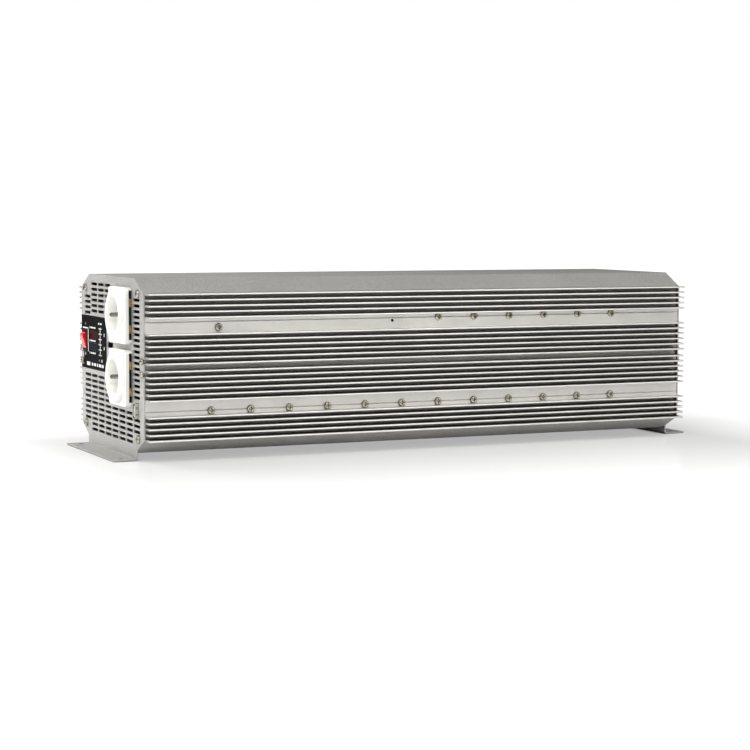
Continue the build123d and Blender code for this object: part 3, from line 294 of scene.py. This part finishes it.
def lens(name, deep, bright):
    """Dark tinted window: smooth and glossy, a little lighter at its edges."""
    s = Shader(name)
    depth = s.noise(0.12, 3.0, 0.5)
    fine = s.noise(1.9, 3.0, 0.6)
    base = s.mix(s.ramp(depth, 0.35, 0.65), deep, bright)
    s.put("Base Color", s.mix(s.math("MULTIPLY", s.edge(0.4), 0.3), base, tuple(c * 1.6 for c in bright)))
    s.put("Roughness", s.ramp(fine, 0.3, 0.7, 0.10, 0.18))
    s.put("Specular IOR Level", 0.02)
    s.bump(fine, 0.03, 0.03, 0.15)
    return s.material


def print_ink(name, colour):
    """Screen-printed ink: slightly uneven cover, matt."""
    s = Shader(name)
    patch = s.noise(1.4, 4.0, 0.65)
    s.put("Base Color", s.mix(s.ramp(patch, 0.35, 0.6), tuple(c * 0.78 for c in colour), colour))
    s.put("Roughness", s.ramp(patch, 0.3, 0.7, 0.45, 0.6))
    s.put("Specular IOR Level", 0.05)
    s.bump(patch, 0.08, 0.02)
    return s.material


paint = hammered_paint()
aluminium = extruded_aluminium()
zinc = plated("zinc_plate", (0.34, 0.32, 0.26), (0.72, 0.69, 0.60), 0.24)
# the clamp screws' rim colour is a painted dark shade along the head edges
clamp_zinc = plated("clamp_screw_plate", (0.19, 0.17, 0.125), (0.66, 0.63, 0.53), 0.16, 0.6, 0.95,
                    rim_shade=(0.022, 0.019, 0.013))
# painted dark reflection: the earth pins' plating is made dark, standing in for the dark surroundings the shiny
# pins reflect
pin_dark_reflection_plate = plated("pin_dark_reflection_plate", (0.09, 0.085, 0.075), (0.28, 0.27, 0.25), 0.16)
wire_plate = plated("bright_wire", (0.55, 0.56, 0.58), (0.86, 0.87, 0.88), 0.18)
nickel = plated("nickel_plate", (0.52, 0.49, 0.42), (0.82, 0.80, 0.74), 0.20)
brass = plated("brass_strip", (0.52, 0.31, 0.08), (0.82, 0.58, 0.22), 0.28)
copper = plated("bare_copper", (0.50, 0.20, 0.10), (0.85, 0.42, 0.26), 0.30)
ivory = plastic("ivory_plastic", (0.93, 0.92, 0.87), (0.97, 0.965, 0.93), 0.30, corner_shade=0.04, subsurface=0.35)
socket_grey = plastic("socket_base_plastic", (0.012, 0.012, 0.012), (0.025, 0.025, 0.025), 0.6, 0.15, specular=0.2)
black = plastic("black_plastic", (0.010, 0.010, 0.011), (0.024, 0.024, 0.025), 0.45, 0.18, specular=0.08)
fan_plastic = plastic("fan_plastic", (0.090, 0.090, 0.095), (0.135, 0.135, 0.142), 0.36, 0.08)
label_film = plastic("label_film", (0.003, 0.0028, 0.0028), (0.006, 0.0055, 0.0055), 0.42, corner_shade=0.1, specular=0.01)
red = plastic("red_plastic", (0.55, 0.006, 0.006), (0.74, 0.014, 0.012), 0.22, corner_shade=0.35, coat=0.15, specular=0.35)
red_insulator = plastic("red_insulator_plastic", (0.50, 0.012, 0.010), (0.66, 0.02, 0.018), 0.30)
pale_tongue = plastic("usb_tongue_plastic", (0.70, 0.70, 0.67), (0.84, 0.84, 0.81), 0.4)
ferrite = plastic("ferrite_ceramic", (0.030, 0.030, 0.033), (0.075, 0.074, 0.078), 0.6, 0.5)
tape = plastic("winding_tape", (0.60, 0.40, 0.05), (0.80, 0.58, 0.10), 0.35, 0.1)
sleeve = plastic("capacitor_sleeve", (0.008, 0.012, 0.05), (0.015, 0.025, 0.10), 0.2)
fuse_orange = plastic("fuse_plastic", (0.70, 0.20, 0.02), (0.88, 0.32, 0.04), 0.22, subsurface=0.2)
silicone = plastic("silicone_sheet", (0.38, 0.39, 0.42), (0.50, 0.51, 0.54), 0.6, 0.2)
board_green = laminate()
red_lens = lens("red_lens", (0.010, 0.001, 0.001), (0.044, 0.003, 0.003))
blue_lens = lens("blue_lens", (0.001, 0.001, 0.005), (0.004, 0.006, 0.022))
lamp_lens = lens("lamp_lens", (0.42, 0.45, 0.43), (0.80, 0.84, 0.80))
white_ink = print_ink("white_ink", (0.84, 0.84, 0.83))

SLOT_LOOK = {
    "silver_paint": paint,
    "bare_aluminium": aluminium,
    "zinc_steel": zinc,
    "steel_wire": wire_plate,
    "black_label": label_film,
    "black_plastic": black,
    "red_rocker_plastic": red,
    "ivory_plastic": ivory,
    "socket_base_plastic": socket_grey,
    "brass": brass,
    "nickel": nickel,
    "copper": copper,
    "red_lens": red_lens,
    "blue_lens": blue_lens,
    "lamp_lens": lamp_lens,
    "red_insulator_plastic": red_insulator,
    "board_laminate": board_green,
    "ferrite": ferrite,
    "winding_tape": tape,
    "capacitor_sleeve": sleeve,
    "fuse_plastic": fuse_orange,
    "silicone": silicone,
    "usb_tongue_plastic": pale_tongue,
}
slot_of = {part["node"]: part["material_slot"] for part in frame["record"]["subparts"]}
NODE_LOOK = {
    "clamp_screws": clamp_zinc,
    "thermostat_screws": clamp_zinc,
    "upper_earth_pin": pin_dark_reflection_plate,
    "lower_earth_pin": pin_dark_reflection_plate,
    "fan_rotor_left": fan_plastic,
    "fan_rotor_right": fan_plastic,
}
for name, shown in nodes.items():
    look = NODE_LOOK.get(name, SLOT_LOOK[slot_of[name]])
    for place in range(len(shown.data.materials)):
        shown.data.materials[place] = look


# ------------------------------------------------------------------ printed label
label_low, label_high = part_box("control_label")
label_face = label_low.y
ink_depth = 0.06 * MM


def flat_boxes(name, rectangles, face_y, material, body, facing=-1):
    """Thin raised rectangles on a face across Y; each is (centre x, centre z, width, height) in mm.

    facing is -1 on a face that looks to the front and 1 on one that looks to the rear.
    """
    vertices, faces = [], []
    for x, z, width, height in rectangles:
        start = len(vertices)
        for y in (face_y + facing * ink_depth, face_y - facing * ink_depth * 0.5):
            for dx, dz in ((-1, -1), (1, -1), (1, 1), (-1, 1)):
                vertices.append(((x - facing * dx * width / 2) * MM, y, (z + dz * height / 2) * MM))
        front = [start, start + 1, start + 2, start + 3]
        back = [start + 7, start + 6, start + 5, start + 4]
        sides = [[start + i, start + 4 + i, start + 4 + (i + 1) % 4, start + (i + 1) % 4] for i in range(4)]
        faces += [front, back] + sides
    mesh = bpy.data.meshes.new(name)
    mesh.from_pydata(vertices, [], faces)
    mesh.materials.append(material)
    made = bpy.data.objects.new(name, mesh)
    bpy.context.scene.collection.objects.link(made)
    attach(made, body)
    return made


# segments of a seven-segment figure: top, top left, top right, middle, bottom left, bottom right, bottom
FIGURES = {
    "0": (1, 1, 1, 0, 1, 1, 1),
    "1": (0, 0, 1, 0, 0, 1, 0),
    "2": (1, 0, 1, 1, 1, 0, 1),
    "5": (1, 1, 0, 1, 0, 1, 1),
    "8": (1, 1, 1, 1, 1, 1, 1),
}


def figure(digit, x, z, width, height, stroke):
    """Rectangles that draw one figure, centred on x, z."""
    half_w, half_h = (width - stroke) / 2, (height - stroke) / 2
    places = [
        (0, half_h, width, stroke),
        (-half_w, half_h / 2, stroke, half_h),
        (half_w, half_h / 2, stroke, half_h),
        (0, 0, width, stroke),
        (-half_w, -half_h / 2, stroke, half_h),
        (half_w, -half_h / 2, stroke, half_h),
        (0, -half_h, width, stroke),
    ]
    return [(x + dx, z + dz, w, h) for on, (dx, dz, w, h) in zip(FIGURES[digit], places) if on]


rocker_low, rocker_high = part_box("rocker_bezel")
rocker_mid_x = (rocker_low.x + rocker_high.x) / 2 / MM
bezel_top = rocker_high.z / MM
bezel_bottom = rocker_low.z / MM
print_marks = []
bar_z = bezel_top + 1.8
line_x = rocker_mid_x + 10.0
print_marks.append((line_x - 9.2, bar_z - 0.6, 20.6, 1.4))
print_marks.append((line_x, (bar_z + bezel_bottom) / 2, 2.0, bar_z - bezel_bottom))
print_marks += figure("1", rocker_mid_x, bezel_top + 6.0, 2.0, 3.2, 0.6)
print_marks += figure("0", rocker_mid_x, bezel_bottom - 2.8, 2.2, 3.2, 0.6)

display_low, display_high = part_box("upper_display")
lower_low, lower_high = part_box("lower_display")
caption_left = display_low.x / MM
for row_z in (display_high.z / MM + 3.8, (display_low.z + lower_high.z) / 2 / MM, lower_low.z / MM - 3.0):
    print_marks += figure("0", caption_left + 2.0, row_z, 2.0, 2.2, 0.45)
    for step, width in enumerate((4.6, 5.4, 5.0)):
        print_marks.append((caption_left + 7.5 + 6.6 * step, row_z, width, 1.6))

lamp_low, lamp_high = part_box("level_lamps")
lamp_mid_x = (lamp_low.x + lamp_high.x) / 2 / MM
lamp_top = lamp_high.z / MM
lamp_bottom = lamp_low.z / MM
lamp_count = 6
lamp_radius = 1.4
lamp_pitch = (lamp_top - lamp_bottom - 2 * lamp_radius) / (lamp_count - 1)
tick_shift = 4.2
for step in range(lamp_count):
    lamp_z = lamp_top - lamp_radius - lamp_pitch * step
    print_marks.append((lamp_mid_x - tick_shift, lamp_z, 3.2, 0.8))
    print_marks.append((lamp_mid_x + tick_shift, lamp_z, 3.2, 0.8))
    if step < lamp_count - 1:
        print_marks.append((lamp_mid_x, lamp_z - lamp_pitch / 2, 1.8, 2.3))
for step, width in enumerate((4.0, 6.0)):
    print_marks.append((lamp_mid_x - 5.0 + 7.5 * step, lamp_top + 4.2, width, 1.9))
for step, digit in enumerate("52"):
    print_marks += figure(digit, lamp_mid_x + 14.6, lamp_top - 7.5 - 14.5 * step, 3.0, 3.4, 0.9)
print_marks += figure("1", lamp_mid_x - 4.5, lamp_bottom - 4.6, 3.4, 3.0, 0.9)
print_marks += figure("2", lamp_mid_x + 6.0, lamp_bottom - 4.6, 3.0, 3.0, 0.9)
base_line = label_low.z / MM + 5.5
print_marks.append((rocker_mid_x + 11.0, base_line, 12.0, 4.0))
for step, width in enumerate((5.0, 7.0, 4.0, 8.0, 6.0)):
    print_marks.append((rocker_mid_x + 26.0 + 9.5 * step, base_line, width, 3.2))
flat_boxes("label_print", print_marks, label_face, white_ink, "case")

red_segment = print_ink("unlit_red_segment", (0.045, 0.004, 0.004))
blue_segment = print_ink("unlit_blue_segment", (0.006, 0.008, 0.030))
digit_pitch = 7.5
for name, low, high, ink, slot_name in (
    ("upper_display_segments", display_low, display_high, red_segment, "red_lens"),
    ("lower_display_segments", lower_low, lower_high, blue_segment, "blue_lens"),
):
    middle_x = (low.x + high.x) / 2 / MM
    middle_z = (low.z + high.z) / 2 / MM
    rows = []
    for place in (-1, 0, 1):
        rows += figure("8", middle_x + digit_pitch * place, middle_z, 4.0, 6.0, 0.6)
    flat_boxes(name, rows, low.y, ink, "case")


# ------------------------------------------------------------------ marks by the cable studs
foot_depth = 25.4 * MM
rear_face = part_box("rear_panel")[1].y - foot_depth
mark_shift = 24.0
sign_size = 8.0
sign_stroke = 1.6
earth_shift = 14.0
earth_stroke = 1.1
rear_marks = []
for name, upright in (("positive_insulator", True), ("negative_insulator", False)):
    low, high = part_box(name)
    stud_x = (low.x + high.x) / 2 / MM
    stud_z = (low.z + high.z) / 2 / MM
    mark_x = stud_x - math.copysign(mark_shift, stud_x)
    rear_marks.append((mark_x, stud_z, sign_size, sign_stroke))
    if upright:
        rear_marks.append((mark_x, stud_z, sign_stroke, sign_size))
low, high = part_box("ground_nut")
earth_x = (low.x + high.x) / 2 / MM + earth_shift
earth_z = (low.z + high.z) / 2 / MM
rear_marks.append((earth_x, earth_z + 3.2, earth_stroke, 4.2))
for step, width in enumerate((8.0, 5.2, 2.4)):
    rear_marks.append((earth_x, earth_z + 0.8 - 2.0 * step, width, earth_stroke))
dark_ink = print_ink("dark_ink", (0.03, 0.03, 0.032))
flat_boxes("terminal_marks", rear_marks, rear_face, dark_ink, "case", facing=1)


# ------------------------------------------------------------------ studio
# the floor's camera-only glow close to the object; lowered there, it paints the object's shade on the floor
floor_glow = 0.42
floor_mirror = 0.24
# how many times faster the floor's painted shade fades past the ends and on the far side than on the finned side
shade_fall = 5.0


object_half_size = [(cad_bounds[1][axis] - cad_bounds[0][axis]) / 2 / MM for axis in (0, 1)]


def stage_material():
    """Pale floor with a faint mirror; to the camera it glows, a little greyer beside the object's +X side than
    around it as painted shade for its shadow and blurred reflection, and darker where it meets the object as a
    painted contact shadow.
    """
    s = Shader("studio_floor")
    soft = s.noise(0.004, 2.0, 0.5)
    fine = s.noise(0.6, 3.0, 0.6)
    seen = s.tree.nodes.new("ShaderNodeLightPath").outputs["Is Camera Ray"]
    pale = s.mix(soft, (0.36, 0.36, 0.357), (0.39, 0.39, 0.387))
    matt = s.tree.nodes.new("ShaderNodeBsdfDiffuse")
    s.feed(matt.inputs["Color"], s.mix(seen, (0.80, 0.795, 0.79), pale))
    mirror = s.tree.nodes.new("ShaderNodeBsdfGlossy")
    mirror.inputs["Color"].default_value = (1.0, 1.0, 1.0, 1.0)
    s.feed(mirror.inputs["Roughness"], s.ramp(fine, 0.3, 0.7, 0.10, 0.13))
    glow = s.tree.nodes.new("ShaderNodeEmission")
    split = s.tree.nodes.new("ShaderNodeSeparateXYZ")
    s.link(s.position, split.inputs[0])
    half_width, half_length = object_half_size
    on_fin_side = s.math("SUBTRACT", split.outputs["X"], half_width)
    on_far_side = s.math("MULTIPLY", s.math("ADD", split.outputs["X"], half_width), -shade_fall)
    past_an_end = s.math("SUBTRACT", s.math("ABSOLUTE", split.outputs["Y"]), half_length)
    gap_x = s.math("MAXIMUM", s.math("MAXIMUM", on_fin_side, on_far_side), 0.0)
    gap_y = s.math("MULTIPLY", s.math("MAXIMUM", past_an_end, 0.0), shade_fall)
    away = s.math("SQRT", s.math("ADD", s.math("MULTIPLY", gap_x, gap_x), s.math("MULTIPLY", gap_y, gap_y)))
    shade_middle = 300
    # painted shade: the camera-only glow is lower close to the object on its finned side
    near_shaded_glow = s.ramp(away, 40, shade_middle, floor_glow, floor_glow + 0.14)
    spread = s.math("ADD", near_shaded_glow, s.ramp(away, shade_middle, 1300, 0.0, 0.42))
    # painted contact shadow: the glow dims in the corners where the floor meets the object
    painted_contact_shadow = s.ramp(s.crevice(9.0, 8), 0.10, 0.70)
    s.feed(glow.inputs["Strength"], s.math("MULTIPLY", seen, s.math("MULTIPLY", spread, painted_contact_shadow)))
    blend = s.tree.nodes.new("ShaderNodeMixShader")
    blend.inputs["Fac"].default_value = floor_mirror
    total = s.tree.nodes.new("ShaderNodeAddShader")
    s.link(matt.outputs[0], blend.inputs[1])
    s.link(mirror.outputs[0], blend.inputs[2])
    s.link(blend.outputs[0], total.inputs[0])
    s.link(glow.outputs[0], total.inputs[1])
    s.link(total.outputs[0], s.output.inputs[0])
    s.tree.nodes.remove(s.surface)
    return s.material


def studio_table():
    """A wide flat floor under the object."""
    reach = 30.0
    mesh = bpy.data.meshes.new("studio_floor")
    mesh.from_pydata([(-reach, -reach, 0), (reach, -reach, 0), (reach, reach, 0), (-reach, reach, 0)], [],
                     [(0, 1, 2, 3)])
    mesh.materials.append(stage_material())
    made = bpy.data.objects.new("studio_floor", mesh)
    bpy.context.scene.collection.objects.link(made)
    return made


floor_gap = 0.4 * MM
floor = studio_table()
floor.location = (0, 0, -floor_gap)


def area_light(name, location, target, size, power, mirrored=True):
    """A soft panel aimed at target; mirrored says whether glossy surfaces show it."""
    data = bpy.data.lights.new(name, "AREA")
    data.shape = "RECTANGLE"
    data.size, data.size_y = size
    data.energy = power
    made = bpy.data.objects.new(name, data)
    bpy.context.scene.collection.objects.link(made)
    made.location = location
    made.rotation_mode = "QUATERNION"
    made.rotation_quaternion = (Vector(target) - Vector(location)).to_track_quat("-Z", "Y")
    made.visible_camera = False
    made.visible_glossy = mirrored
    return made


area_light("key_light", (1.9, -1.7, 2.0), (0, 0, 0.05), (1.6, 1.2), 13)
area_light("front_light", (-0.6, -2.6, 0.5), (0, -0.3, 0.05), (1.8, 0.8), 18, mirrored=False)
area_light("panel_light", (-0.62, -0.70, 0.60), (-0.56, -0.62, 0.0), (0.5, 0.5), 9, mirrored=False)
area_light("side_light", (2.6, 1.5, 1.3), (0.1, 0.1, 0.1), (2.2, 1.2), 17)
area_light("tip_light", (0.9, 0.9, 1.9), (0.12, 0.0, 0.1), (0.5, 1.6), 4)
area_light("table_light", (1.05, 0.0, 0.90), (1.45, 0.0, 0.0), (1.8, 1.0), 30)


class Sky:
    """World shader: bright overhead and towards the front, dark behind the object, plain white to the camera."""

    def __init__(self):
        world = bpy.data.worlds.new("studio_world")
        bpy.context.scene.world = world
        world.use_nodes = True
        self.tree = world.node_tree
        self.tree.nodes.clear()
        coords = self.tree.nodes.new("ShaderNodeTexCoord")
        split = self.tree.nodes.new("ShaderNodeSeparateXYZ")
        self.tree.links.new(coords.outputs["Generated"], split.inputs[0])
        self.x, self.y, self.z = split.outputs

    def ramp(self, value, low, high, out_low, out_high):
        node = self.tree.nodes.new("ShaderNodeMapRange")
        node.interpolation_type = "SMOOTHSTEP"
        self.tree.links.new(value, node.inputs["Value"])
        node.inputs["From Min"].default_value = low
        node.inputs["From Max"].default_value = high
        node.inputs["To Min"].default_value = out_low
        node.inputs["To Max"].default_value = out_high
        return node.outputs[0]

    def math(self, operation, a, b):
        node = self.tree.nodes.new("ShaderNodeMath")
        node.operation = operation
        for socket, value in zip(node.inputs, (a, b)):
            if isinstance(value, bpy.types.NodeSocket):
                self.tree.links.new(value, socket)
            else:
                socket.default_value = value
        return node.outputs[0]


sky = Sky()
height = sky.ramp(sky.z, 0.0, 0.85, 0.50, 0.62)
rear = sky.ramp(sky.y, 0.05, 0.60, 0.0, 1.0)
far_side = sky.ramp(sky.x, -0.30, 0.35, 1.0, 0.0)
behind = sky.math("MULTIPLY", rear, far_side)
dimming = sky.math("SUBTRACT", 1.0, sky.math("MULTIPLY", behind, 0.95))
rear_half = sky.ramp(sky.y, 0.20, 0.75, 1.0, 0.45)
overhead_rear = sky.math("MULTIPLY", sky.ramp(sky.y, 0.10, 0.55, 0.0, 0.75), sky.ramp(sky.z, 0.35, 0.80, 0.0, 1.0))
shaded = sky.math("MULTIPLY", rear_half, sky.math("SUBTRACT", 1.0, overhead_rear))
strength = sky.math("MULTIPLY", sky.math("MULTIPLY", height, dimming), shaded)
surroundings = sky.tree.nodes.new("ShaderNodeBackground")
surroundings.inputs["Color"].default_value = (1.0, 0.99, 0.97, 1.0)
sky.tree.links.new(strength, surroundings.inputs["Strength"])
backdrop = sky.tree.nodes.new("ShaderNodeBackground")
backdrop.inputs["Color"].default_value = (1.0, 1.0, 1.0, 1.0)
paths = sky.tree.nodes.new("ShaderNodeLightPath")
choose = sky.tree.nodes.new("ShaderNodeMixShader")
world_out = sky.tree.nodes.new("ShaderNodeOutputWorld")
sky.tree.links.new(paths.outputs["Is Camera Ray"], choose.inputs["Fac"])
sky.tree.links.new(surroundings.outputs[0], choose.inputs[1])
sky.tree.links.new(backdrop.outputs[0], choose.inputs[2])
sky.tree.links.new(choose.outputs[0], world_out.inputs[0])


# ------------------------------------------------------------------ camera
camera_azimuth = math.radians(65.02)
camera_elevation = math.radians(4.65)
camera_roll = math.radians(0.2)
camera_distance = 2.2794
aim = Vector((-0.0033, -0.0113, 0.0736))
back = Vector((
    math.sin(camera_azimuth) * math.cos(camera_elevation),
    -math.cos(camera_azimuth) * math.cos(camera_elevation),
    math.sin(camera_elevation),
))
camera_data = bpy.data.cameras.new("camera")
camera_data.lens = 94.96
camera_data.sensor_width = 36.0
camera_data.clip_start, camera_data.clip_end = 0.05, 50.0
camera = bpy.data.objects.new("camera", camera_data)
bpy.context.scene.collection.objects.link(camera)
camera.location = aim + back * camera_distance
camera.rotation_mode = "QUATERNION"
camera.rotation_quaternion = (-back).to_track_quat("-Z", "Y") @ Matrix.Rotation(camera_roll, 4, "Z").to_quaternion()
bpy.context.scene.camera = camera

bpy.context.scene.view_settings.view_transform = "Standard"
bpy.context.scene.view_settings.exposure = 0.0
